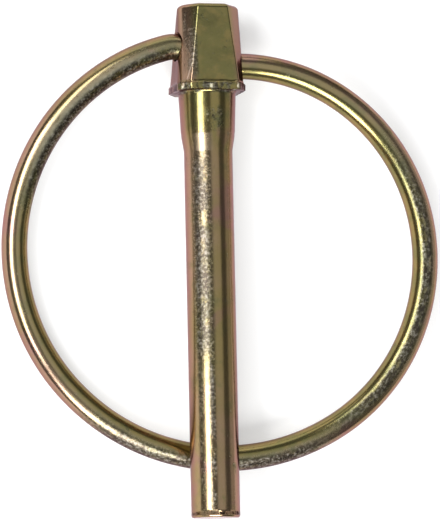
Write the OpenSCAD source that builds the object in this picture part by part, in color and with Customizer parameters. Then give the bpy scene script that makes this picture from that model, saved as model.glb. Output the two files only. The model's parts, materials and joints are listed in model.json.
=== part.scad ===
// Linch pin, 4.5 mm: a forged pin and the spring ring that snaps over its far end.
// Row frame: the shank's axis is the Y axis and the head is at +Y. The ring's plane is nearly level
// and passes under the shank, so the pin lies on its back. The origin is on the shank's axis where
// the collar meets the head's underside. Millimetres and degrees.

/* [Shank] */
// Diameter of the shank
shank_d = 4.5; // [3.6:0.1:5.4]
// Length from the head's underside to the sheared end
shank_len = 38.5; // [36:0.5:48]
// Bevel around the sheared end
tip_bevel = 0.3; // [0:0.05:0.6]

/* [Collar] */
// How far the collar stands out from the shank, right under the head
collar_top_step = 0.4; // [0.2:0.05:0.7]
// How far the collar stands out from the shank at its lower edge
collar_low_step = 0.25; // [0.1:0.05:0.5]
// Length of the collar's slightly tapered part
collar_len = 3.5; // [2:0.1:5]
// Length of the cone that brings the collar down to the shank
collar_cone_len = 1.5; // [0.8:0.1:2.5]

/* [Head] */
// Height of the head above its underside
head_h = 8.5; // [8:0.1:10.5]
// Width of the head at its base
head_base_w = 6.3; // [5.6:0.1:7.5]
// Depth of the head at its base
head_base_d = 5.8; // [5:0.1:7]
// Width of the head at its top
head_top_w = 5.85; // [4.9:0.1:7]
// Depth of the head at its top
head_top_d = 3.9; // [3.6:0.1:5]
// How far the top of the forging sits to the right of the shank's axis
head_lean = 0.2; // [0:0.05:0.3]
// Corner bevel at the base, measured across the front
bevel_base_w = 0.95; // [0.6:0.05:1.3]
// Corner bevel at the base, measured down the side
bevel_base_d = 1.3; // [0.9:0.05:1.6]
// Corner bevel at the top, measured across the front
bevel_top_w = 1.5; // [1:0.05:1.7]
// Corner bevel at the top, measured down the side
bevel_top_d = 1.5; // [1:0.05:1.6]
// Chamfer around the top face
top_chamfer = 0.55; // [0.3:0.05:0.7]

/* [Flash lip] */
// Height of the sloping underside, from the collar up to the lip
lip_z = 0.45; // [0.3:0.05:0.7]
// Height of the lip
lip_h = 0.55; // [0.35:0.05:0.8]
// How far the lip stands proud of the head's faces
lip_proud = 0.1; // [0.05:0.01:0.2]

/* [Cross bore] */
// Height of the cross bore above the head's underside, on the shank's axis
bore_h = 3.76; // [3.4:0.02:4.4]
// Slope of the cross bore, from high on the left to low on the right
bore_slope = 16; // [8:0.5:18]
// Radial running clearance between the ring's wire and the cross bore
bore_clearance = 0.08; // [0.03:0.01:0.1]
// How much wider than the bore each countersunk mouth is, on the radius
mouth_step = 0.5; // [0.35:0.05:0.7]
// Depth of each countersunk mouth
mouth_depth = 0.8; // [0.6:0.05:1]

/* [Ring] */
// Diameter of the ring's spring wire
wire_d = 2.4; // [2:0.1:2.9]
// Distance from the head's underside to where the wire's middle crosses the shank
ring_reach = 32.9; // [30:0.1:34]
// Middle radius of the ring's lower arc
ring_base_r = 20.2; // [17:0.1:24]
// Sweep of the lower arc to the left of the shank
base_sweep_left = 40; // [25:1:55]
// Sweep of the lower arc to the right of the shank
base_sweep_right = 35; // [20:1:50]
// Slope of the wire where it crosses the shank, falling to the right
crossing_slope = 5.7; // [0:0.1:8]
// Middle radius of the bend that turns each end into the cross bore
end_bend_r = 2.2; // [1.6:0.1:3]
// Gap between the two ends inside the cross bore
end_gap = 0.8; // [0.4:0.1:1.6]
// Gap between the closed ring and the back of the shank
rest_gap = 0.1; // [0.05:0.05:0.3]

/* [Hidden] */
$fn = 96;

SLICE = 0.02;    // thickness of the thin outlines that a hull joins
SINK = 0.3;      // how far pieces of one solid reach into each other
OUTSIDE = 4;     // how far a cutting tool runs past the surface it cuts
SEAM = 0.02;     // how far the band over a seam in the wire stands proud
SEAM_HALF = 0.1; // half the band's width

shank_r = shank_d / 2;
collar_top_r = shank_r + collar_top_step;
collar_low_r = shank_r + collar_low_step;
lip_top = lip_z + lip_h;
wire_r = wire_d / 2;
bore_r = wire_r + bore_clearance;

// Distance along the bore's axis from the shank's axis to a side face of the head
mouth_h = (bore_h - lip_top) / (head_h - top_chamfer - lip_top);
head_half_w = (head_base_w + (head_top_w - head_base_w) * mouth_h) / 2;
mouth_s = head_half_w / cos(bore_slope);

// ---- The ring's outline, drawn flat in the XY plane ----
function dir(a) = [cos(a), sin(a)];
function angle_of(v) = atan2(v.y, v.x);
function positive(a) = a - 360 * floor(a / 360);
function signed(a) = positive(a + 180) - 180;

axis_dir = dir(-bore_slope);
axis_up = dir(90 - bore_slope);
axis_mid = [0, bore_h];
crossing = [0, -ring_reach];
down = -90 - crossing_slope;   // direction from the lower arc's centre to the crossing

// One half of the ring: side is -1 for the left half and 1 for the right one.
// The lower arc runs on into a side arc that meets the bore's axis at the head's side face.
function base_centre() = crossing - ring_base_r * dir(down);
function join_angle(side, sweep) = down + side * sweep;
function join_point(side, sweep) = base_centre() + ring_base_r * dir(join_angle(side, sweep));
function to_mouth(side, sweep) = axis_mid + side * mouth_s * axis_dir - join_point(side, sweep);
function side_r(side, sweep) =
    let (v = to_mouth(side, sweep)) -(v * v) / (2 * v * dir(join_angle(side, sweep)));
function side_centre(side, sweep) =
    join_point(side, sweep) - side_r(side, sweep) * dir(join_angle(side, sweep));

// The end bend is tangent to the side arc and to the bore's axis. It turns the ring's own way (-1)
// where the wire drops away from the axis, and the other way (1) where the wire first rises from it.
function foot(side, sweep) = (side_centre(side, sweep) - axis_mid) * axis_dir;
function bend_turn(side, sweep) = side * (side * mouth_s - foot(side, sweep)) >= 0 ? -1 : 1;
function bend_s(side, sweep) =
    let (
        k = bend_turn(side, sweep) * end_bend_r,
        v = axis_mid + k * axis_up - side_centre(side, sweep),
        along = v * axis_dir,
        reach = side_r(side, sweep) + k
    )
    -along + sign(side * mouth_s - foot(side, sweep)) * sqrt(along * along - v * v + reach * reach);
function bend_centre(side, sweep) =
    axis_mid + bend_s(side, sweep) * axis_dir + bend_turn(side, sweep) * end_bend_r * axis_up;
function bend_angle(side, sweep) = angle_of(bend_centre(side, sweep) - side_centre(side, sweep));

// The closed ring leans back about the bore's axis, far enough to pass under the shank
lean = asin((shank_r + wire_r + rest_gap) / ((bore_h + ring_reach) * cos(bore_slope)));

// ---- Shared shapes ----

// A rectangle w by d with its corners cut off by bw across and bd down, moved lean to the right
module bevelled(w, d, bw, bd, lean = 0) {
    x = w / 2;
    y = d / 2;
    translate([lean, 0])
        polygon([
            [x - bw, -y], [x, bd - y], [x, y - bd], [x - bw, y],
            [bw - x, y], [-x, y - bd], [-x, bd - y], [bw - x, -y]
        ]);
}

// Turns a shape drawn along Z, back towards +Y, into the row frame: its top to +Y, its back to -Z
module lay_down() {
    rotate([-90, 0, 0]) children();
}

// Puts a shape drawn along Z onto the bore's axis, with its +Z end pointing right
module on_bore_axis() {
    translate([0, bore_h, 0]) rotate([0, 0, -bore_slope]) rotate([0, 90, 0]) children();
}

// An arc of the ring's wire around c, from angle a0 through sweep
module wire_arc(c, r, a0, sweep) {
    start = sweep < 0 ? a0 + sweep : a0;
    translate([c.x, c.y, 0])
        rotate([0, 0, start])
            rotate_extrude(angle = abs(sweep))
                translate([r, 0])
                    circle(r = wire_r);
}

// ---- The pin ----

// The forged block between the lip and the top, with its top edges chamfered
module head_block() {
    shoulder_z = head_h - top_chamfer;
    hull() {
        translate([0, 0, lip_top - SINK])
            linear_extrude(SLICE) bevelled(head_base_w, head_base_d, bevel_base_w, bevel_base_d);
        translate([0, 0, lip_top])
            linear_extrude(SLICE) bevelled(head_base_w, head_base_d, bevel_base_w, bevel_base_d);
        translate([0, 0, shoulder_z - SLICE])
            linear_extrude(SLICE)
                bevelled(head_top_w, head_top_d, bevel_top_w, bevel_top_d, head_lean);
        translate([0, 0, head_h - SLICE])
            linear_extrude(SLICE)
                bevelled(head_top_w - 2 * top_chamfer, head_top_d - 2 * top_chamfer,
                    bevel_top_w - top_chamfer / 2, bevel_top_d - top_chamfer / 2, head_lean);
    }
}

// The flash lip around the base of the head, and the underside that slopes in to the collar
module flash_lip() {
    lip_w = head_base_w + 2 * lip_proud;
    lip_d = head_base_d + 2 * lip_proud;
    translate([0, 0, lip_z])
        linear_extrude(lip_h) bevelled(lip_w, lip_d, bevel_base_w, bevel_base_d);
    hull() {
        translate([0, 0, lip_z])
            linear_extrude(SLICE) bevelled(lip_w, lip_d, bevel_base_w, bevel_base_d);
        linear_extrude(SLICE) circle(r = collar_top_r, $fn = 32);
    }
}

// The collar, its cone and the shank, turned as one profile from the head down to the sheared end
module shank_and_collar() {
    cone_top = -collar_len;
    cone_end = cone_top - collar_cone_len;
    rotate_extrude()
        polygon([
            [0, lip_top],
            [collar_top_r, lip_z],
            [collar_top_r, 0],
            [collar_low_r, cone_top],
            [shank_r, cone_end],
            [shank_r, tip_bevel - shank_len],
            [shank_r - tip_bevel, -shank_len],
            [0, -shank_len]
        ]);
}

// The cross bore for the ring's ends, with a countersunk mouth on each side of the head
module cross_bore() {
    mouth_r = bore_r + mouth_step;
    slope = mouth_step / mouth_depth;
    on_bore_axis() {
        cylinder(r = bore_r, h = 2 * (mouth_s + OUTSIDE), center = true);
        for (side = [0, 180])
            rotate([side, 0, 0])
                translate([0, 0, mouth_s - mouth_depth])
                    cylinder(r1 = bore_r, r2 = mouth_r + slope * OUTSIDE, h = mouth_depth + OUTSIDE);
    }
}

module pin() {
    color([0.62, 0.58, 0.36])
        difference() {
            lay_down() {
                head_block();
                flash_lip();
                shank_and_collar();
            }
            cross_bore();
        }
}

// ---- The ring ----

// A thin band that closes the seam where two stretches of wire meet at p and run on at angle a
module seam(p, a) {
    translate([p.x, p.y, 0])
        rotate([0, 0, a])
            rotate([0, 90, 0])
                cylinder(r = wire_r + SEAM, h = 2 * SEAM_HALF, center = true);
}

// The side arc, the end bend and the straight end of one half of the ring
module half_ring(side, sweep) {
    from = join_angle(side, sweep);
    to = bend_angle(side, sweep);
    turn = bend_turn(side, sweep);
    bend_from = turn < 0 ? angle_of(axis_up) : angle_of(axis_up) + 180;
    s = bend_s(side, sweep);

    wire_arc(side_centre(side, sweep), side_r(side, sweep), from, side * positive(side * (to - from)));
    wire_arc(bend_centre(side, sweep), end_bend_r, bend_from, signed(to - angle_of(axis_up)));
    on_bore_axis()
        rotate([side < 0 ? 180 : 0, 0, 0])
            translate([0, 0, end_gap / 2])
                cylinder(r = wire_r, h = abs(s) - end_gap / 2);
    seam(join_point(side, sweep), from + 90);
    seam(side_centre(side, sweep) + side_r(side, sweep) * dir(to), to + 90);
    seam(axis_mid + s * axis_dir, -bore_slope);
}

// The closed ring: drawn flat, then leaned back about the bore's axis
module ring() {
    color([0.66, 0.62, 0.42])
        translate([0, bore_h, 0])
            rotate([0, 0, -bore_slope])
                rotate([lean, 0, 0])
                    rotate([0, 0, bore_slope])
                        translate([0, -bore_h, 0]) {
                            wire_arc(base_centre(), ring_base_r, down - base_sweep_left,
                                base_sweep_left + base_sweep_right);
                            half_ring(-1, base_sweep_left);
                            half_ring(1, base_sweep_right);
                        }
}

pin();
ring();
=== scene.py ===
# %% [markdown]
# # A linch pin in yellow zinc
# A linch pin is a short forged pin with a spring ring through its head. The shank goes through a hole
# in a shaft, and the ring snaps down over the shaft's end, so that the pin can't fall out. This lesson
# gives the CAD model of one its looks: the soft edges of a forging, the bend of the wire, and the
# yellow, green and pink sheen of passivated zinc. The frame comes first, because it fixes every size.

# %% Load the frame
import json
import math

import bmesh
import bpy
import numpy as np
from mathutils import Matrix, Vector, noise
from mathutils.bvhtree import BVHTree


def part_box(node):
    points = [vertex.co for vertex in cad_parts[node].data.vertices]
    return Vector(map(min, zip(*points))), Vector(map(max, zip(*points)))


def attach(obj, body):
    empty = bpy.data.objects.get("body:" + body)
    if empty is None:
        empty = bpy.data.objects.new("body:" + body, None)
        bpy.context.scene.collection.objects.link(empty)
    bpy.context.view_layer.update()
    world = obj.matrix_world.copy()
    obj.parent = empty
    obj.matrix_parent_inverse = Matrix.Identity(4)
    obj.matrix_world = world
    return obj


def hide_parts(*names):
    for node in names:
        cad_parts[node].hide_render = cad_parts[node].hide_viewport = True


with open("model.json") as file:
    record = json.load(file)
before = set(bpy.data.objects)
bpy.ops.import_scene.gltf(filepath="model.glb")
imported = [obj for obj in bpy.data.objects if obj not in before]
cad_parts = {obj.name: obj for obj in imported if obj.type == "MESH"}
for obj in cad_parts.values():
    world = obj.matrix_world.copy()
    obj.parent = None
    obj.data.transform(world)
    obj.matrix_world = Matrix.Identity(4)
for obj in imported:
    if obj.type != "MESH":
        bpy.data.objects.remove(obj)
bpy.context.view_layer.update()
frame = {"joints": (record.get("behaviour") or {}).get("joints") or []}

MM = 0.001
pin_low, pin_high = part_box("pin")
hinge = frame["joints"][0]

# %% [markdown]
# ## The camera
# A long lens from far away keeps the pin's sides parallel, as a product picture does. The camera could
# be aimed with a Track To constraint. Here its three axes are worked out from two angles and a roll
# instead, because then nothing about the view is left to a constraint's choice of which way is up.

# %% Camera
VIEW_YAW = math.radians(16)      # how far the camera stands to the left of straight above
VIEW_PITCH = math.radians(6)     # how far it stands towards the tip
VIEW_ROLL = math.radians(1.223)  # the pin leans to the left by this much in the view
VIEW_DISTANCE = 400 * MM
VIEW_LENS = 303.7                # millimetres
VIEW_SENSOR = 36                 # millimetres along the view's long side
VIEW_TARGET = Vector((0, -15, 0)) * MM
VIEW_OFF_CENTRE = Vector((0.87, 0.03)) * MM   # the target sits this far left of and above the middle

to_camera = Vector((
    -math.sin(VIEW_YAW) * math.cos(VIEW_PITCH),
    -math.sin(VIEW_PITCH),
    math.cos(VIEW_YAW) * math.cos(VIEW_PITCH),
))
level_right = Vector((math.cos(VIEW_YAW), 0, math.sin(VIEW_YAW)))
level_up = to_camera.cross(level_right)
view_right = level_right * math.cos(VIEW_ROLL) - level_up * math.sin(VIEW_ROLL)
view_up = level_up * math.cos(VIEW_ROLL) + level_right * math.sin(VIEW_ROLL)


def standing_at(place, right, up, back):
    """The matrix of an object at a place, whose own x, y and z point right, up and back."""
    return Matrix((
        (right.x, up.x, back.x, place.x),
        (right.y, up.y, back.y, place.y),
        (right.z, up.z, back.z, place.z),
        (0, 0, 0, 1),
    ))


camera_data = bpy.data.cameras.new("camera")
camera_data.lens = VIEW_LENS
camera_data.sensor_width = VIEW_SENSOR
camera = bpy.data.objects.new("camera", camera_data)
bpy.context.scene.collection.objects.link(camera)
eye = VIEW_TARGET + to_camera * VIEW_DISTANCE
eye += view_right * VIEW_OFF_CENTRE.x - view_up * VIEW_OFF_CENTRE.y
camera.matrix_world = standing_at(eye, view_right, view_up, to_camera)
bpy.context.scene.camera = camera
print("camera at", [round(v / MM) for v in eye], "mm")

# %% [markdown]
# ## Helpers for meshes
# Both pieces are skins: rows of points, each row joined to the next with quads. Blender's Skin or
# Screw modifiers make such shapes too, but rows of our own let every row have its own outline, which
# the head needs as it turns from a bevelled block into a round collar.

# %% Skin over rows of points, and a piece made of it
def skin_of_rows(rows):
    """Vertices and faces of a skin over closed rows of points, with a fan over each end row."""
    count = len(rows[0])
    verts = [tuple(p) for row in rows for p in row]
    faces = []
    for r in range(len(rows) - 1):
        for i in range(count):
            j = (i + 1) % count
            faces.append((r * count + i, r * count + j, (r + 1) * count + j, (r + 1) * count + i))
    for r, flip in ((0, True), (len(rows) - 1, False)):
        verts.append(tuple(np.mean(np.array(rows[r]), axis=0)))
        hub = len(verts) - 1
        for i in range(count):
            a, b = r * count + i, r * count + (i + 1) % count
            faces.append((hub, b, a) if flip else (hub, a, b))
    return verts, faces


def new_piece(name, verts, faces):
    """A smooth-shaded mesh object made of these points, given in millimetres."""
    mesh = bpy.data.meshes.new(name)
    mesh.from_pydata([tuple(c * MM for c in v) for v in verts], [], faces)
    shell = bmesh.new()
    shell.from_mesh(mesh)
    bmesh.ops.recalc_face_normals(shell, faces=shell.faces)
    shell.to_mesh(mesh)
    shell.free()
    mesh.shade_smooth()
    piece = bpy.data.objects.new(name, mesh)
    bpy.context.scene.collection.objects.link(piece)
    return piece


square = [(0, 0), (1, 0), (1, 1), (0, 1)]
box_rows = [[(x, y, z) for x, y in square] for z in (0, 1)]
print("a box skinned from two rows has", len(skin_of_rows(box_rows)[1]), "faces")

# %% [markdown]
# ## The forged pin
# The real pin is hot-forged in two half dies and its flash is sheared off. What is left of the flash
# is a thin ragged lip around the foot of the head. No edge of a forging is sharp, so each outline here
# is a bevelled rectangle whose eight corners are small arcs. The Bevel modifier could round them too,
# but it gives every edge one width, and this head's side corners are far softer than its front ones.

# %% Outline of the head
ARC_STEPS = 7       # steps around each rounded corner
FLAT_STEPS = 16     # steps along the front and back
SIDE_STEPS = 12     # steps along each side
BEVEL_STEPS = 8     # steps along each bevel


def rounded_outline(width, depth, bevel_w, bevel_d, shift, radius_front, radius_side):
    """Points (x, z) around a bevelled rectangle whose corners are arcs, in millimetres."""
    x, z = width / 2, depth / 2
    corners = [
        (bevel_w - x, z), (x - bevel_w, z), (x, z - bevel_d), (x, bevel_d - z),
        (x - bevel_w, -z), (bevel_w - x, -z), (-x, bevel_d - z), (-x, z - bevel_d),
    ]
    radii = [radius_front, radius_front, radius_side, radius_side] * 2
    steps = [FLAT_STEPS, BEVEL_STEPS, SIDE_STEPS, BEVEL_STEPS] * 2
    arcs = []
    for i, corner in enumerate(corners):
        here = Vector(corner)
        before = (Vector(corners[i - 1]) - here).normalized()
        after = (Vector(corners[(i + 1) % 8]) - here).normalized()
        half = before.angle(after) / 2
        middle = here + (before + after).normalized() * radii[i] / math.sin(half)
        start = here + before * radii[i] / math.tan(half) - middle
        end = here + after * radii[i] / math.tan(half) - middle
        arcs.append([middle + start.slerp(end, k / ARC_STEPS).normalized() * radii[i]
                     for k in range(ARC_STEPS + 1)])
    points = []
    for i, arc in enumerate(arcs):
        points += arc
        last, first = arc[-1], arcs[(i + 1) % 8][0]
        points += [last.lerp(first, k / steps[i]) for k in range(1, steps[i])]
    return [(p.x + shift, p.y) for p in points]


print("points in one outline:", len(rounded_outline(6, 5, 1, 1, 0, 0.5, 0.4)))

# %% [markdown]
# The outline changes with the height above the collar's top. Small functions of height give its width,
# depth and bevels, so that a change to one of them moves the whole head with it. The numbers are the
# forging's own sizes, and what the frame already knows is read from the frame. Each pair is the size at
# the head's foot, just over the lip, and the size at its shoulder, just under the top face.

# %% Sizes of the pin, in millimetres
HEAD_TOP = pin_high.y / MM
TIP = pin_low.y / MM
LIP_HALF_W, LIP_HALF_D = pin_high.x / MM, pin_high.z / MM
LIP_LOW, LIP_HIGH, LIP_PROUD = 0.32, 1.0, 0.1
LIP_BEVELS = (0.95, 1.3)       # along the front and along the side
LIP_CORNER = 0.32
TOP_CHAMFER = 0.55
SHOULDER = HEAD_TOP - TOP_CHAMFER
HEAD_LEAN = 0.2                # the top sits this far to the right of the foot
HEAD_W = (2 * (LIP_HALF_W - LIP_PROUD), 5.85)
HEAD_D = (2 * (LIP_HALF_D - LIP_PROUD), 3.9)
BEVEL_W = (0.85, 1.5)
BEVEL_D = (1.2, 1.45)
FRONT_CORNER = 0.3
SIDE_CORNER = (1.5, 1.1)
SHRINK_W, SHRINK_D = 2.8, 2                   # how much each size shrinks for each unit of inset
SHRINK_BEVEL_W, SHRINK_BEVEL_D = 0.9, 0.55
SHANK_R = 2.25
COLLAR_TOP_R, COLLAR_LOW_R = SHANK_R + 0.4, SHANK_R + 0.25
COLLAR_END, CONE_END = -3.5, -5.0
SKIN_IN = 0.015     # the visible skin starts this far inside the CAD solid


def between(low, high, share):
    return low + (high - low) * share


def head_outline(share, inset):
    """The head's outline, from share 0 at the lip to 1 at the shoulder, drawn in by inset. The
    bevels and the side corners shrink with it, so that no flat between them is used up."""
    return rounded_outline(
        between(*HEAD_W, share) - SHRINK_W * inset,
        between(*HEAD_D, share) - SHRINK_D * inset,
        between(*BEVEL_W, share) - SHRINK_BEVEL_W * inset,
        between(*BEVEL_D, share) - SHRINK_BEVEL_D * inset,
        HEAD_LEAN * share, FRONT_CORNER, between(*SIDE_CORNER, share) - inset,
    )


def lip_outline(inset, corner=LIP_CORNER):
    """The lip's outline, drawn in by inset."""
    return rounded_outline(
        2 * (LIP_HALF_W - inset), 2 * (LIP_HALF_D - inset), *LIP_BEVELS, 0, corner, corner,
    )


def circle_like(outline, radius):
    """A circle with one point for each point of an outline, in the same directions."""
    spread = [math.atan2(z, x) for x, z in outline]
    return [(radius * math.cos(a), radius * math.sin(a)) for a in spread]


print("head from", LIP_LOW, "to", round(HEAD_TOP, 2), "mm, tip at", round(TIP, 2), "mm")

# %% [markdown]
# Now the rows. From the middle of the top face they run out over the rounded shoulder and down the
# tapered faces. Rows are close together where the surface turns and far apart where it runs straight.

# %% Rows of the head
FACE_IN = 0.5       # radius of the shoulder, where the top face turns into the sides
CROWN = 0.03        # the top face rises this much towards its middle
TOP_SHARES = (0.12, 0.3, 0.5, 0.7, 0.86, 0.95)
FACE_ROWS = 34
LIP_FILLET = 0.08   # height over which the faces run out into the lip
pin_rows = []


def add_row(outline, height):
    """Adds a closed row of points at one height to the pin."""
    pin_rows.append([(x, height, z) for x, z in outline])


def quarter(radius, steps):
    """Inset and drop around a quarter of a circle, from its crown to its side."""
    for k in range(steps + 1):
        a = math.pi / 2 * k / steps
        yield radius * (1 - math.sin(a)), radius * (1 - math.cos(a))


top = head_outline(1, FACE_IN)
for scale in TOP_SHARES:
    shrunk = [((x - HEAD_LEAN) * scale + HEAD_LEAN, z * scale) for x, z in top]
    add_row(shrunk, HEAD_TOP - SKIN_IN - CROWN * scale ** 2)
for inset, drop in quarter(FACE_IN, 9):
    add_row(head_outline(1, inset + SKIN_IN), HEAD_TOP - SKIN_IN - CROWN - drop)
shoulder_row = HEAD_TOP - SKIN_IN - CROWN - FACE_IN
face_foot = LIP_HIGH + LIP_FILLET
for k in range(1, FACE_ROWS + 1):
    height = between(shoulder_row, face_foot, k / FACE_ROWS)
    share = (height - LIP_HIGH) / (SHOULDER - LIP_HIGH)
    add_row(head_outline(min(share, 1), SKIN_IN), height)
print("rows of the head:", len(pin_rows))

# %% [markdown]
# The rows go on over the lip, in under it, and through a small fillet to the round collar. Every row
# has as many points as the first, so the change from eight corners to a circle needs only a few rows.

# %% Rows of the lip and the neck
LIP_ROWS = 6
LIP_SLOPE = 0.1                # how far under LIP_HIGH the lip's sloping upper side ends
LIP_TOP_CORNER = (0.5, 0.3)    # at the top and at the foot of that slope
LIP_ROUND = 0.08
NECK_FILLET = 0.16
UNDERSIDE_DROP = 0.03
UNDERSIDE_SHARES = (0.4, 0.8)
lip_crest = LIP_HIGH - LIP_SLOPE
for k in range(1, LIP_ROWS + 1):
    share = k / LIP_ROWS
    eased = share * share * (3 - 2 * share)
    outline = lip_outline(SKIN_IN + LIP_PROUD * (1 - eased), between(*LIP_TOP_CORNER, share))
    add_row(outline, between(face_foot, lip_crest, share))
for rise, inset in quarter(LIP_ROUND, 4):
    add_row(lip_outline(SKIN_IN + inset), LIP_LOW + rise)
foot = lip_outline(SKIN_IN + LIP_ROUND)
neck = circle_like(foot, COLLAR_TOP_R - SKIN_IN + NECK_FILLET)
for t in UNDERSIDE_SHARES:
    mixed = [(between(a[0], b[0], t), between(a[1], b[1], t)) for a, b in zip(foot, neck)]
    add_row(mixed, LIP_LOW - UNDERSIDE_DROP * t)
for outset, drop in quarter(NECK_FILLET, 4):
    add_row(circle_like(foot, COLLAR_TOP_R - SKIN_IN + outset), LIP_LOW - UNDERSIDE_DROP - drop)
print("rows down to the collar:", len(pin_rows))

# %% [markdown]
# The collar tapers a little, then a short cone brings it down to the shank. The crease between them is
# softened over a few rows and is a shallow groove: that narrow band catches the light as a thin line.
# The shank ends where the bar was sheared, in a small rounded edge and a slightly hollow face. Rows
# crowd around the crease and the cone, and are half a millimetre apart on the shank.

# %% Rows of the collar, shank and sheared end
GROOVE_DEPTH, GROOVE_HALF = 0.022, 0.12
CREASE_BLUR = 0.2
TIP_ROUND = 0.24
TIP_DISH = ((0.8, 0.0), (0.7, 0.005), (0.55, 0.015), (0.35, 0.025), (0.15, 0.03))


def sharp_radius(height):
    """Radius of the collar, the cone and the shank at a height, with sharp creases."""
    if height > COLLAR_END:
        return between(COLLAR_TOP_R, COLLAR_LOW_R, height / COLLAR_END)
    if height > CONE_END:
        return between(COLLAR_LOW_R, SHANK_R, (height - COLLAR_END) / (CONE_END - COLLAR_END))
    return SHANK_R


def turned_radius(height):
    """The same radius with its creases softened by averaging, and with the groove."""
    groove = GROOVE_DEPTH * math.exp(-((height - COLLAR_END) / GROOVE_HALF) ** 2)
    nearby = [sharp_radius(min(height + CREASE_BLUR * s / 3, 0)) for s in range(-3, 4)]
    return np.mean(nearby) - SKIN_IN - groove


collar_heights = list(np.linspace(LIP_LOW - 0.3, COLLAR_END + 0.5, 12))
cone_heights = list(np.linspace(COLLAR_END + 0.35, CONE_END - 0.5, 40))
shank_heights = list(np.linspace(CONE_END - 0.8, TIP + TIP_ROUND, 62))
for height in collar_heights + cone_heights + shank_heights:
    add_row(circle_like(foot, turned_radius(height)), height)
for inset, drop in reversed(list(quarter(TIP_ROUND, 6))):
    add_row(circle_like(foot, SHANK_R - SKIN_IN - inset), TIP + SKIN_IN + drop)
for scale, hollow in TIP_DISH:
    add_row(circle_like(foot, SHANK_R * scale), TIP + SKIN_IN + hollow)
pin = new_piece("forged_pin", *skin_of_rows(pin_rows))
print("pin:", len(pin.data.polygons), "faces")

# %% [markdown]
# ## Waves and nicks
# A flat mirror looks like plastic, because a forging's faces are never flat. Each vertex moves in by up
# to a tenth of a millimetre or so, following Blender's own noise. The lip gets the coarsest bites, which
# are the tears that shearing left. A Displace modifier with a texture would do the same, but the
# amount here depends on where the vertex sits, and a function says that plainly.

# %% Displace the pin
FACE_WAVE, FACE_RIPPLE = 0.05, 0.014
LIP_WAVE, LIP_BITE, LIP_TEAR = 0.02, 0.09, 0.1
SHANK_WAVE, SHANK_RIPPLE = 0.012, 0.006
END_RIPPLE, END_TEAR = 0.02, 0.03
TORN_END = 0.5      # this much of the shank's end was torn by the shears


def unevenness(p, scale, offset):
    """A noise from 0 to 1 at a point in millimetres."""
    return noise.noise(p * scale + Vector(offset)) * 0.5 + 0.5


def bite_depth(p):
    """How far a point of the pin moves in. The point and the depth are in millimetres."""
    slow = unevenness(p, 0.45, (3, 1, 7))
    quick = unevenness(p, 1.6, (9, 4, 2))
    fine = unevenness(p, 5, (1, 8, 5))
    if p.y > LIP_HIGH + LIP_FILLET:
        return FACE_WAVE * slow + FACE_RIPPLE * quick
    if p.y > LIP_LOW - 0.05 and math.hypot(p.x, p.z) > COLLAR_TOP_R * 1.02:
        return LIP_WAVE * slow + LIP_BITE * max(quick - 0.35, 0) + LIP_TEAR * max(fine - 0.45, 0)
    if p.y > TIP + TORN_END:
        return SHANK_WAVE * slow + SHANK_RIPPLE * quick
    return END_RIPPLE * quick + END_TEAR * fine


pin.data.update()
depths = [bite_depth(vertex.co / MM) for vertex in pin.data.vertices]
moved = [v.co - v.normal * depth * MM for v, depth in zip(pin.data.vertices, depths)]
for vertex, place in zip(pin.data.vertices, moved):
    vertex.co = place
print("deepest bite:", round(max(depths), 3), "mm")

# %% [markdown]
# ## The cross bore
# The ring's ends turn in a sloping hole through the head, whose mouths are broken only a little. A
# Boolean modifier cuts it. A plain cylinder as the cutter would leave a knife edge, so this cutter feels
# for the head's surface with rays, all the way round, and flares out until it leaves that surface at a
# shallow angle. The mouth then has a soft edge of even width, on the side face and the bevels alike.

# %% Shape of the bore's cutter
WIRE_R = 1.2
BORE_R = WIRE_R + 0.08
MOUTH_R, MOUTH_DEPTH = BORE_R + 0.05, 0.4
MOUTH_SOFT = 0.35      # how gently the bore turns into its mouth
CUTTER_R = BORE_R + 0.4
CUTTER_RISE = 0.012    # the cutter's flare ends this far above the head's surface
CUTTER_RINGS = 16
AROUND_BORE = 96
RAY_START, CUTTER_END = 20, 8    # distances along the bore from its middle, both outside the head
hinge_mid = Vector(hinge["pos_m"]) / MM
hinge_axis = Vector(hinge["axis"]).normalized()
across = Vector((0, 0, 1))
along_head = across.cross(hinge_axis)


def mouth_drop(radius):
    """How deep the mouth lies under the head's surface at a distance from the bore's axis."""
    slope = (MOUTH_R - radius) / (MOUTH_R - BORE_R)
    return MOUTH_DEPTH * (slope + math.sqrt(slope ** 2 + MOUTH_SOFT ** 2)) / 2 - CUTTER_RISE


def bore_cutter(target):
    """A closed skin along the bore, flared to meet the target's surface on both sides."""
    surface = BVHTree.FromObject(target, bpy.context.evaluated_depsgraph_get())
    spokes = [across * math.cos(a) + along_head * math.sin(a)
              for a in np.linspace(0, 2 * math.pi, AROUND_BORE, endpoint=False)]
    radii = list(np.linspace(BORE_R, CUTTER_R, CUTTER_RINGS))

    def at_surface(spoke, radius, side):
        start = hinge_mid + spoke * radius + hinge_axis * side * RAY_START
        hit = surface.ray_cast(start * MM, -hinge_axis * side)[0]
        return (hit / MM - hinge_mid).dot(hinge_axis)

    def ring_of(radius, side):
        return [hinge_mid + s * radius
                + hinge_axis * (at_surface(s, radius, side) - side * mouth_drop(radius))
                for s in spokes]

    left = [ring_of(r, -1) for r in reversed(radii)]
    right = [ring_of(r, 1) for r in radii]
    far = [[hinge_mid + s * CUTTER_R + hinge_axis * side * CUTTER_END for s in spokes]
           for side in (-1, 1)]
    return new_piece("bore_cutter", *skin_of_rows([far[0], *left, *right, far[1]]))


print("bore", round(2 * BORE_R, 2), "mm wide, at height", round(hinge_mid.y, 2), "mm")

# %% [markdown]
# The modifier's result is kept as a plain mesh, and the modifier and the cutter are thrown away. The
# frame then gets a piece that needs nothing else in the file.

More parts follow.
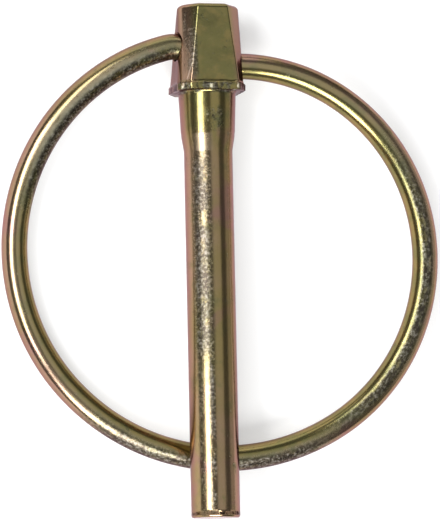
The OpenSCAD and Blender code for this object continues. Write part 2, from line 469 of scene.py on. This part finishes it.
# %% Cut the cross bore
cutter = bore_cutter(pin)
cut = pin.modifiers.new("cross bore", "BOOLEAN")
cut.operation = "DIFFERENCE"
cut.solver = "EXACT"
cut.object = cutter
bpy.context.view_layer.update()
drilled = bpy.data.meshes.new_from_object(pin.evaluated_get(bpy.context.evaluated_depsgraph_get()))
pin.modifiers.clear()
pin.data = drilled
bpy.data.objects.remove(cutter)
pin.data.shade_smooth()
print("drilled pin:", len(pin.data.polygons), "faces")

# %% [markdown]
# ## The ring
# The ring is one length of spring wire: a lower arc, two side arcs that differ a little, and at each
# end a tight bend into the bore. Each arc meets the next without a corner, which a hand-drawn curve
# never quite does, so the arcs are worked out with the same geometry as the CAD model, and a circle of
# points is carried along them. A Curve object with a round bevel would look the same, but here each
# point also keeps its place along the wire, which the finish needs later.

# %% Sizes of the ring, in millimetres and degrees
REACH = 32.9                    # from the head's underside to where the wire crosses the shank
BASE_R = 20.2                   # radius of the lower arc
BASE_SWEEP = {-1: 40, 1: 35}    # how far the lower arc runs to the left and to the right
CROSSING_SLOPE = 5.7            # the slope of the wire where it crosses the shank
BEND_R = 2.2                    # radius of the bends into the bore
END_GAP = 0.8                   # between the wire's two ends, inside the bore
REST_GAP = 0.1                  # between the wire and the shank, when the ring is closed
ARC_STEP, BEND_STEP = 0.3, 0.12
STUB_SHARES = (0.2, 0.4, 0.6, 0.8, 1.0)    # places along the straight stub in the bore


def heading(angle):
    return Vector((math.cos(math.radians(angle)), math.sin(math.radians(angle))))


def angle_of(v):
    return math.degrees(math.atan2(v.y, v.x))


bore_slope = -angle_of(hinge_axis)
bore_mid = hinge_mid.xy
bore_dir = heading(-bore_slope)
bore_up = heading(90 - bore_slope)
face_share = (bore_mid.y - LIP_HIGH) / (SHOULDER - LIP_HIGH)
mouth_at = between(LIP_HALF_W - LIP_PROUD, HEAD_W[1] / 2, face_share) / bore_dir.x
down = -90 - CROSSING_SLOPE
base_centre = Vector((0, -REACH)) - BASE_R * heading(down)
print("bore slopes by", round(bore_slope, 2), "degrees, mouths", round(mouth_at, 2), "mm from its middle")

# %% [markdown]
# A side arc starts where the lower arc ends, in the same direction, and its circle is the one that also
# passes through the middle of the bore's mouth. The bend's circle touches that circle on one side and
# the bore's line on the other: its middle lies one bend radius off the line, at the distance along it
# where the two circles just touch. These two conditions are all that half_course solves.

# %% Course of the wire
def arc_points(centre, radius, start, sweep, step):
    """Places along an arc, each with the way that points out of the arc."""
    count = max(2, math.ceil(abs(math.radians(sweep)) * radius / step))
    return [(centre + radius * heading(start + sweep * k / count), heading(start + sweep * k / count))
            for k in range(count + 1)]


def half_course(side):
    """The side arc, the end bend and the stub of one half of the ring, from the lower arc on."""
    join = down + side * BASE_SWEEP[side]
    corner = base_centre + BASE_R * heading(join)
    chord = bore_mid + side * mouth_at * bore_dir - corner
    radius = -chord.dot(chord) / (2 * chord.dot(heading(join)))
    centre = corner - radius * heading(join)
    nearest = (centre - bore_mid).dot(bore_dir)
    turn = -1 if side * (side * mouth_at - nearest) >= 0 else 1
    offset = bore_mid + turn * BEND_R * bore_up - centre
    along = offset.dot(bore_dir)
    span = math.sqrt(along ** 2 - offset.dot(offset) + (radius + turn * BEND_R) ** 2)
    stub = -along + math.copysign(span, side * mouth_at - nearest)
    bend_centre = bore_mid + stub * bore_dir + turn * BEND_R * bore_up
    leave = angle_of(bend_centre - centre)
    sweep = side * ((side * (leave - join)) % 360)
    bend_start = angle_of(bore_up) + (0 if turn < 0 else 180)
    bend_sweep = (leave - angle_of(bore_up) + 180) % 360 - 180
    places = arc_points(centre, radius, join, sweep, ARC_STEP)[1:]
    bend = arc_points(bend_centre, BEND_R, bend_start, bend_sweep, BEND_STEP)
    places += [(p, -turn * n) for p, n in reversed(bend)][1:]
    for share in STUB_SHARES:
        places.append((bore_mid + between(stub, side * END_GAP / 2, share) * bore_dir, bore_up))
    return places


lower_arc = arc_points(base_centre, BASE_R, down - BASE_SWEEP[-1], sum(BASE_SWEEP.values()), ARC_STEP)
course = list(reversed(half_course(-1))) + lower_arc + half_course(1)
print("places along the wire:", len(course))

# %% [markdown]
# The wire's drawn skin isn't perfectly round either: a slow wave of a few microns breaks up the long
# highlights. The ring is built flat and then leaned back about the bore, until it passes under the
# shank, which is how the closed ring rests. Each point stores its place in the unrolled wire.

# %% Build the ring
WIRE_SIDES = 40
WIRE_SKIN = WIRE_R - 0.012
WIRE_WAVE = 0.008
WAVE_ALONG, WAVE_ACROSS, WAVE_SHIFT = 0.22, 0.8, 4
ring_rows, wire_places, travelled = [], [], 0.0
previous = course[0][0]
for place, out in course:
    travelled += (place - previous).length
    previous = place
    points = []
    for a in np.linspace(0, 2 * math.pi, WIRE_SIDES, endpoint=False):
        unrolled = Vector((travelled, math.cos(a) * WIRE_R, math.sin(a) * WIRE_R))
        x, y, z = unrolled
        wave = noise.noise(Vector((x * WAVE_ALONG, y * WAVE_ACROSS, z * WAVE_ACROSS + WAVE_SHIFT)))
        r = WIRE_SKIN - WIRE_WAVE * (wave + 1) / 2
        flat = place + out * r * math.cos(a)
        points.append((flat.x, flat.y, r * math.sin(a)))
        wire_places.append(unrolled)
    ring_rows.append(points)
wire_places += [Vector((0, 0, 0)), Vector((travelled, 0, 0))]
ring = new_piece("spring_ring", *skin_of_rows(ring_rows))
stored = ring.data.attributes.new("wire_place", "FLOAT_VECTOR", "POINT")
stored.data.foreach_set("vector", [c for p in wire_places for c in p])
lean = math.asin((SHANK_R + WIRE_R + REST_GAP) / ((bore_mid.y + REACH) * bore_dir.x))
about_bore = Matrix.Translation(hinge_mid * MM) @ Matrix.Rotation(lean, 4, hinge_axis)
ring.data.transform(about_bore @ Matrix.Translation(-hinge_mid * MM))
print("wire", round(travelled, 1), "mm long, leaned by", round(math.degrees(lean), 2), "degrees")

# %% [markdown]
# ## Maths with shader nodes
# A finish is a small program of nodes. Wiring Math nodes by hand is slow to read, so one class wraps a
# socket and gives it Python's operators: `1 - mask * 0.4` adds its own nodes. Everything else, such as
# a noise texture, comes from one method that first makes its settings and then fills its sockets.

# %% A socket that arithmetic works on
class Value:
    """A number in a material. Arithmetic on it adds Math nodes."""

    def __init__(self, finish, socket):
        self.finish = finish
        self.socket = socket

    def math(self, operation, *terms):
        return self.finish.node("ShaderNodeMath", {"operation": operation}, dict(enumerate(terms)))

    def __add__(self, other):
        return self.math("ADD", self, other)

    def __radd__(self, other):
        return self.math("ADD", other, self)

    def __sub__(self, other):
        return self.math("SUBTRACT", self, other)

    def __rsub__(self, other):
        return self.math("SUBTRACT", other, self)

    def __mul__(self, other):
        return self.math("MULTIPLY", self, other)

    def __rmul__(self, other):
        return self.math("MULTIPLY", other, self)

    def unsigned(self):
        """The number without its sign."""
        return self.math("ABSOLUTE", self)

    def larger(self, other):
        return self.math("MAXIMUM", self, other)

    def angle_from(self, other):
        """The angle, in radians, of a point this far to the side and other forward."""
        return self.math("ARCTAN2", self, other)

    def rise(self, low, high):
        """0 below low, 1 above high, and a smooth step between them."""
        return self.finish.node(
            "ShaderNodeMapRange", {"interpolation_type": "SMOOTHSTEP"},
            {"Value": self, "From Min": low, "From Max": high})

    def band(self, low, high, soft):
        """1 between low and high, fading to 0 over soft on each side of both ends."""
        return self.rise(low - soft, low + soft) * (1 - self.rise(high - soft, high + soft))


print("operators with a reflected form:", sum(name.startswith("__r") for name in vars(Value)))

# %% [markdown]
# The Finish class holds one material. Its node method is the only place where nodes are made. A Mix
# node has a set of sockets for each kind of data: 6 and 7 are its two colours, and output 2 is theirs.

# %% A material whose nodes are made by one method
class Finish:
    """A material with a Principled shader, and short ways to fill it."""

    def __init__(self, name):
        self.material = bpy.data.materials.new(name)
        self.material.use_nodes = True
        self.tree = self.material.node_tree
        self.shader = self.tree.nodes["Principled BSDF"]

    def fill(self, socket, value):
        """Links a Value to a socket, or sets a plain number or colour on it."""
        if isinstance(value, Value):
            self.tree.links.new(value.socket, socket)
        else:
            socket.default_value = value

    def node(self, kind, settings, inputs, output=0):
        made = self.tree.nodes.new(kind)
        for name, value in settings.items():
            setattr(made, name, value)
        for name, value in inputs.items():
            self.fill(made.inputs[name], value)
        return Value(self, made.outputs[output])

    def surface(self, **values):
        """Fills the shader's sockets, with _ for each space in a socket's name."""
        for name, value in values.items():
            self.fill(self.shader.inputs[name.replace("_", " ")], value)

    def noise(self, place, scale, detail=3.0, roughness=0.5, distortion=0.0):
        return self.node("ShaderNodeTexNoise", {}, {
            "Vector": place, "Scale": scale, "Detail": detail, "Roughness": roughness,
            "Distortion": distortion})

    def mix(self, share, first, second):
        """A mix of two colours."""
        return self.node("ShaderNodeMix", {"data_type": "RGBA"}, {0: share, 6: first, 7: second}, 2)

    def stretch(self, place, by):
        return self.node("ShaderNodeVectorMath", {"operation": "MULTIPLY"}, {0: place, 1: by})

    def part(self, place, axis):
        return self.node("ShaderNodeSeparateXYZ", {}, {0: place}, axis)


print("a finish has", len([name for name in vars(Finish) if not name.startswith("__")]), "methods")

# %% [markdown]
# ## Yellow zinc
# Zinc plating is passivated in a chromate bath, which leaves a film thinner than a thousandth of a
# millimetre. Light that bounces off the film's two faces interferes, so the colour runs from straw
# yellow through green to pink as the film's thickness or the angle changes. The shader has a thin film
# of its own, but it does nothing on a full metal in this version. So the thickness is painted instead:
# the base colour drifts between the film's colours with noise. A tinted coat warms all of it, and the
# specular tint turns the metal pink at a grazing angle, as the real film does.

# %% Colours of the plating
STRAW = (0.41, 0.38, 0.20, 1)           # the thinnest film
OLIVE = (0.34, 0.36, 0.125, 1)          # a thicker one
MOSS = (0.26, 0.315, 0.11, 1)           # clouds on top of both
# Rose is also painted on sides and outer edges as a painted reflection of their grazing sheen.
ROSE = (0.40, 0.27, 0.24, 1)            # the thickest film
DULL = (0.085, 0.072, 0.062, 1)         # the ground of a worn patch
SOOT = (0.05, 0.04, 0.035, 1)           # dirt in its pits
SILVER = (0.48, 0.47, 0.43, 1)          # burnished flecks on it
BRONZE = (0.20, 0.145, 0.085, 1)        # small dark specks anywhere
# Steel is also painted as highlights on the cone, on the wire's crown and along a crease.
STEEL = (0.93, 0.97, 0.72, 1)           # a nick or a polished spot
GRAZING_PINK = (0.55, 0.41, 0.50, 1)
FILM_TINT = (0.84, 0.65, 0.71, 1)
FILM_IOR = 1.1
FILM_ROUGHNESS = 0.12

# %% [markdown]
# Both pieces share one recipe. Where the plating is worn, fine noise splits the patch into a dull
# ground, sooty pits and silver flecks, the coat thins out and the metal gets rougher. An image could
# hold the same patches, but both pieces would have to be unwrapped for it, and it would blur close up.

# %% Plating
def plating(finish, place, worn, tone, pink_film_and_sheen, steel_and_highlight):
    """Plates a finish and returns its two finest noises. The place is in millimetres, worn is 1 where
    the film is rubbed off, tone shifts it to green, the pink share shifts it to pink, partly as a painted
    reflection of grazing sides, and the steel share shows steel, partly as a painted highlight."""
    drift = finish.noise(place, 0.16, 2.0)
    cloud = finish.noise(place, 0.55, 3.0, 0.6)
    colour = finish.mix((drift + tone).rise(0.36, 0.64), STRAW, OLIVE)
    colour = finish.mix((cloud + tone * 0.5).rise(0.52, 0.76), colour, MOSS)
    pink = finish.noise(place, 0.32, 2.0, 0.5, 0.4) - tone * 0.6
    colour = finish.mix(pink.rise(0.55, 0.74) * 0.6, colour, ROSE)
    # Pink of a thick film, and painted reflection: pink on the sides, corners and outer edges stands in
    # for their grazing sheen.
    colour = finish.mix(pink_film_and_sheen, colour, ROSE)
    grain = finish.noise(place, 3.8, 5.0, 0.7)
    flecks = grain.rise(0.5, 0.64) * worn
    pits = (1 - grain.rise(0.43, 0.55)) * worn
    specks = finish.noise(place, 11.0, 3.0, 0.6)
    colour = finish.mix(worn * 0.8, colour, DULL)
    colour = finish.mix(flecks * 0.48, colour, SILVER)
    colour = finish.mix(pits * 0.85, colour, SOOT)
    colour = finish.mix(specks.rise(0.64, 0.7) * 0.5, colour, SILVER)
    colour = finish.mix((1 - specks.rise(0.3, 0.36)) * 0.6, colour, BRONZE)
    # Steel of nicks and polish, and painted highlights on the cone, on the wire's crown and along a
    # crease.
    colour = finish.mix(steel_and_highlight, colour, STEEL)
    finish.surface(Base_Color=colour, Metallic=1.0, Specular_Tint=GRAZING_PINK)
    finish.surface(Roughness=0.15 + cloud * 0.1 + worn * 0.12 + flecks * 0.2 + steel_and_highlight * 0.3)
    finish.surface(Coat_Weight=1 - worn * 0.75, Coat_Roughness=FILM_ROUGHNESS)
    finish.surface(Coat_IOR=FILM_IOR, Coat_Tint=FILM_TINT)
    return grain, specks


def emboss(finish, height, distance):
    """Turns a height, counted in distances of so many metres, into the shader's normal."""
    finish.surface(Normal=finish.node("ShaderNodeBump", {}, {
        "Strength": 1.0, "Distance": distance, "Height": height}))


print("colours of the film:", [STRAW[:3], OLIVE[:3], MOSS[:3], ROSE[:3]])

# %% [markdown]
# ## The pin's finish
# It works in the pin's own frame, in millimetres, because object coordinates stay with the piece when
# it moves. The angle around the shank is 0 at the front and grows to the right. Ragged noise, a little
# stretched along the pin, breaks up the worn patches, so that none of them ends in a clean line.

# %% Places on the pin
pin_finish = Finish("pin_plating")
metres = pin_finish.node("ShaderNodeTexCoord", {}, {}, "Object")
place = pin_finish.stretch(metres, (1000, 1000, 1000))
px, py, pz = (pin_finish.part(place, axis) for axis in "XYZ")
around = px.angle_from(pz)
in_front = pz.rise(0, 1)
on_head = py.rise(0.6, 1.4)
ragged = pin_finish.noise(pin_finish.stretch(place, (1, 0.45, 1)), 1.1, 4.0, 0.7)
print("nodes for places:", len(pin_finish.tree.nodes))

# %% [markdown]
# The shank is rubbed dull and pitted in one band, a little left of the front. Towards the tip the band
# breaks into two streaks, the collar has a few scuffs of its own, and light scuffs lie everywhere. Each
# band is a range of angles around the shank and a range of heights; where they overlap, the strongest
# wins.

# %% Wear on the shank
RUB_ANGLES, RUB_HEIGHTS = (-0.95, -0.24), (-24, -5.6)
SCUFF_ANGLES, SCUFF_HEIGHTS = (-0.32, 0.3), (-3.4, -1.3)
STREAK_ANGLES, FAINT_STREAK_ANGLES = (-0.42, -0.2), (-0.88, -0.7)
STREAK_HEIGHTS = (-37.8, -23)
rubbed = around.band(*RUB_ANGLES, 0.2) * py.band(*RUB_HEIGHTS, 1.4) * ragged.rise(0.2, 0.52)
collar_scuffs = around.band(*SCUFF_ANGLES, 0.14) * py.band(*SCUFF_HEIGHTS, 0.5)
collar_scuffs = collar_scuffs * ragged.rise(0.4, 0.56)
streaks = around.band(*STREAK_ANGLES, 0.07) + around.band(*FAINT_STREAK_ANGLES, 0.08) * 0.6
streaks = streaks * py.band(*STREAK_HEIGHTS, 1.5) * ragged.rise(0.34, 0.54)
scuffs = ragged.rise(0.6, 0.74) * 0.6
shank_wear = rubbed.larger(scuffs).larger(collar_scuffs * 0.8).larger(streaks)
print("nodes with the shank's wear:", len(pin_finish.tree.nodes))

# %% [markdown]
# On the head, the left bevel is worn and the lip is marked all round. Three nicks on the front of the
# lip are down to bright steel; noise bends their sides, so that they aren't neat oblongs. A fine line of
# steel colour runs up from the face's lower left corner: a painted highlight along a crease.

# %% Marks on the head
BEVEL_WIDTH, BEVEL_HEIGHTS = (-2.4, -1.5), (1.3, 7.8)
NICKS = ((-2.97, -2.8, 0.06), (-0.52, -0.27, 0.08), (2.0, 2.18, 0.06))   # from, to and softness
NICK_HEIGHTS = (0.45, 0.85)
CREASE_GLINT_X, CREASE_GLINT_TOP, CREASE_GLINT_FOOT, CREASE_GLINT_SLOPE = -2.05, 2.75, 1.2, 0.31
CREASE_GLINT_HALF = 0.03
lip_marks = py.band(0.1, 1.0, 0.12) * ragged.rise(0.4, 0.56)
bevel_wear = px.band(*BEVEL_WIDTH, 0.15) * py.band(*BEVEL_HEIGHTS, 0.4) * in_front
bevel_wear = bevel_wear * ragged.rise(0.34, 0.6)
wander = (ragged - 0.5) * 1.2
across, up = px + wander, py + wander
nicks = across.band(*NICKS[0]) + across.band(*NICKS[1]) + across.band(*NICKS[2])
nicks = nicks * up.band(*NICK_HEIGHTS, 0.1) * in_front
# Painted highlight: a thin line of steel colour along a crease.
painted_crease_glint = (px - CREASE_GLINT_X + (CREASE_GLINT_TOP - py) * CREASE_GLINT_SLOPE).band(-CREASE_GLINT_HALF, CREASE_GLINT_HALF, CREASE_GLINT_HALF)
painted_crease_glint = painted_crease_glint * py.band(CREASE_GLINT_FOOT, CREASE_GLINT_TOP, 0.1) * in_front
worn = shank_wear.larger(lip_marks).larger(bevel_wear * 0.7)
print("nodes with the head's marks:", len(pin_finish.tree.nodes))

# %% [markdown]
# Pink is painted on the outer parts of the head's front and along both sides of the collar and the
# shank: a painted reflection, the pink sheen those parts show at a grazing angle. The lower shank also
# gets a faint pink tint all round. Between them, the collar and the head are greener. The front of the
# cone gets a little steel colour, a painted highlight. The relief adds the pits' depth, the grain and
# fine lines along the pin. All of it could be one painted image, but a few bands are quicker to move.

# %% Film, painted sheen and highlights, and relief of the pin
HEAD_MIDDLE = 0.15       # the middle of the head's front is this far to the right
LEFT_SIDE, RIGHT_SIDE = (-2.2, -1.2), (0.7, 1.7)
CONE_ANGLES, CONE_HEIGHTS = (-0.85, -0.15), (-5.2, -3.6)
off_centre = (px - HEAD_MIDDLE).unsigned()
# Painted reflection: pink on the head's outer parts and along the sides of the collar and the shank.
painted_corner_sheen = off_centre.rise(1.5, 2.3) * on_head * 0.5
painted_side_sheen = around.band(*LEFT_SIDE, 0.14) + around.band(*RIGHT_SIDE, 0.14)
painted_side_sheen = painted_side_sheen * (1 - on_head) * (py.rise(-5, -3) * 0.4 + 0.25)
shank_pink = (1 - py.rise(-6, -4)) * 0.09
pink_film_and_sheen = painted_corner_sheen + painted_side_sheen + shank_pink
tone = py.rise(-4, -1) * 0.32 + on_head * 0.08
# Painted highlight: steel colour on the front of the cone.
painted_cone_highlight = around.band(*CONE_ANGLES, 0.12) * (py.band(*CONE_HEIGHTS, 0.1) * 0.25)
grain, specks = plating(pin_finish, place, worn, tone, pink_film_and_sheen, nicks + painted_crease_glint * 0.6 + painted_cone_highlight)
drawn = pin_finish.noise(pin_finish.stretch(place, (1, 0.06, 1)), 7.0, 3.0, 0.6)
emboss(pin_finish, grain * (0.4 + worn * 2.2) + specks * (0.3 + worn) + drawn * 0.5, 0.006 * MM)
pin.data.materials.append(pin_finish.material)
print("pin finish nodes:", len(pin_finish.tree.nodes))

# %% [markdown]
# ## The ring's finish
# It works in the unrolled wire: the first number is the distance along the wire from its left end, the
# second is how far out from the ring's middle a point faces, from -1.2 to 1.2. Fine lines from the
# drawing die then follow every bend. The wire is worn dull on its inner side near the left end, on the
# outside around the shank, and along the lower right.

# %% Wear on the ring
LEFT_END, NEAR_SHANK, LOWER_RIGHT = (2, 24), (46, 68), (70, 98)
ring_finish = Finish("ring_plating")
place = ring_finish.node("ShaderNodeAttribute", {"attribute_name": "wire_place"}, {}, "Vector")
along = ring_finish.part(place, "X")
outward = ring_finish.part(place, "Y")
ragged = ring_finish.noise(ring_finish.stretch(place, (0.5, 1, 1)), 1.2, 4.0, 0.7)
left_end_wear = along.band(*LEFT_END, 3) * (1 - outward.rise(-0.35, 0.35))
shank_side_wear = along.band(*NEAR_SHANK, 3) * outward.rise(-0.3, 0.4)
lower_right_wear = along.band(*LOWER_RIGHT, 5) * outward.band(-0.6, 0.35, 0.25)
dull = left_end_wear.larger(shank_side_wear).larger(lower_right_wear) * ragged.rise(0.26, 0.5)
worn = dull.larger(ragged.rise(0.6, 0.74) * 0.5)
print("nodes with the ring's wear:", len(ring_finish.tree.nodes))

# %% [markdown]
# The film on the wire is greener on the ring's inner side, and on the outer side near the left end. Pink
# is
# painted at the very outside: a painted reflection, the pink sheen of that side at a grazing angle. The
# crown of the wire gets a little steel colour, a painted highlight that whitens the highlights there, and
# one patch near the left end is polished more. Fine lines run along the wire, so their noise is stretched
# that way.

# %% Film, painted sheen and highlights, and relief of the ring
GREEN_END, BRIGHT_END = (2, 15), (6, 21)
# Painted highlight: a little steel colour on the wire's crown.
painted_crown_highlight = outward.band(-0.2, 0.65, 0.2) * (1 - dull) * 0.14
bright_patch = along.band(*BRIGHT_END, 4) * outward.band(-0.25, 0.35, 0.25) * ragged.rise(0.3, 0.5)
green_end = along.band(*GREEN_END, 3) * outward.rise(0, 0.5) * 0.3
tone = (1 - outward.rise(-0.4, 0.6)) * 0.34 - 0.04 + green_end
# Painted reflection: pink on the very outside of the wire.
pink_film_and_sheen = outward.rise(0.6, 1.1) * 0.25
grain, specks = plating(ring_finish, place, worn, tone, pink_film_and_sheen, painted_crown_highlight + bright_patch * 0.25)
drawn = ring_finish.noise(ring_finish.stretch(place, (0.05, 1, 1)), 9.0, 3.0, 0.6)
height = grain * (0.3 + worn * 1.8) + specks * (0.2 + worn * 0.8) + drawn * 0.8
emboss(ring_finish, height, 0.005 * MM)
ring.data.materials.append(ring_finish.material)
print("ring finish nodes:", len(ring_finish.tree.nodes))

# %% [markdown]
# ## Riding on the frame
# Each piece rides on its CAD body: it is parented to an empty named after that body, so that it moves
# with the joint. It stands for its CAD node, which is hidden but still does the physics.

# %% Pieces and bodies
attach(pin, "pin")
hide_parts("pin")
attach(ring, "ring")
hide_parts("ring")
print("pieces that ride:", [piece.name for piece in (pin, ring)])

# %% [markdown]
# ## Floor
# The pin lies on its back: the lip's back edge and the lowest point of the ring touch the floor. The
# floor's slope follows from those two contacts, so it fits whatever size the ring has. It glows a
# little, as a light table does, which keeps it pale and lights the undersides of the metal.

# %% Floor
FLOOR_HALF = 900 * MM
FLOOR_GAP = 0.02 * MM
FLOOR_GLOW = 0.45
CONTACT_HEIGHT = 0.7 * MM      # the lip touches the floor at this height of its back edge
RING_FROM = 5 * MM             # the ring touches it somewhere further down than this
rest_edge = Vector((0, CONTACT_HEIGHT, pin_low.z))
slope = max((v.co.z - rest_edge.z) / (v.co.y - rest_edge.y)
            for v in ring.data.vertices if v.co.y < rest_edge.y - RING_FROM)
corners = [(x * FLOOR_HALF, y * FLOOR_HALF) for x, y in ((-1, -1), (1, -1), (1, 1), (-1, 1))]
floor_points = [(x, y, rest_edge.z + slope * (y - rest_edge.y) - FLOOR_GAP) for x, y in corners]
floor_mesh = bpy.data.meshes.new("floor")
floor_mesh.from_pydata(floor_points, [], [(0, 1, 2, 3)])
floor = bpy.data.objects.new("floor", floor_mesh)
bpy.context.scene.collection.objects.link(floor)
floor_finish = Finish("floor")
floor_finish.surface(Base_Color=(0.6, 0.6, 0.6, 1), Roughness=0.9, Specular_IOR_Level=0.1)
floor_finish.surface(Emission_Color=(1, 1, 1, 1), Emission_Strength=FLOOR_GLOW)
floor_mesh.materials.append(floor_finish.material)
print("floor slopes by", round(math.degrees(math.atan(slope)), 2), "degrees")

# %% [markdown]
# ## Light
# Metal shows its surroundings, so the lights are chosen by what the wire should mirror. A long softbox
# on the left and a wide one beyond the tip give the pale streaks, and a small one high beyond the head
# adds one to the upper left of the ring. Three dim ones give the quiet parts: the one overhead is the
# olive of the head's face, a wide one low beyond the head lights the outside of the ring's top, and one
# low on the right lifts the right sides. The dark room between them draws the dark lines that make
# metal look round. An HDR image of a studio could do the same, but rectangles are easier to move.

# %% Lights
SOFTBOX_DISTANCE = 500 * MM
ROOM_GREY = 0.14


def softbox(name, towards, size, power):
    """A rectangular light that faces the pin from a direction, its size in millimetres."""
    data = bpy.data.lights.new(name, "AREA")
    data.shape = "RECTANGLE"
    data.size, data.size_y = (s * MM for s in size)
    data.energy = power
    light = bpy.data.objects.new(name, data)
    bpy.context.scene.collection.objects.link(light)
    direction = Vector(towards).normalized()
    side = Vector((0, 1, 0)).cross(direction).normalized()
    place = VIEW_TARGET + direction * SOFTBOX_DISTANCE
    light.matrix_world = standing_at(place, side, direction.cross(side), direction)


softbox("left_softbox", (-0.69, 0.0, 0.72), (165, 620), 3.0)
softbox("tip_softbox", (-0.18, -0.81, 0.55), (360, 190), 2.9)
softbox("back_softbox", (-0.38, 0.5, 0.78), (130, 260), 0.55)
softbox("far_softbox", (-0.1, 0.96, 0.26), (520, 200), 0.42)
softbox("overhead_softbox", (0.28, 0.12, 0.95), (340, 420), 0.27)
softbox("right_softbox", (0.97, 0.05, 0.22), (240, 620), 0.22)
world = bpy.data.worlds.new("studio")
bpy.context.scene.world = world
world.use_nodes = True
room = world.node_tree.nodes["Background"]
room.inputs["Color"].default_value = (ROOM_GREY, ROOM_GREY, ROOM_GREY, 1)
bpy.context.scene.view_settings.view_transform = "Standard"

# %% [markdown]
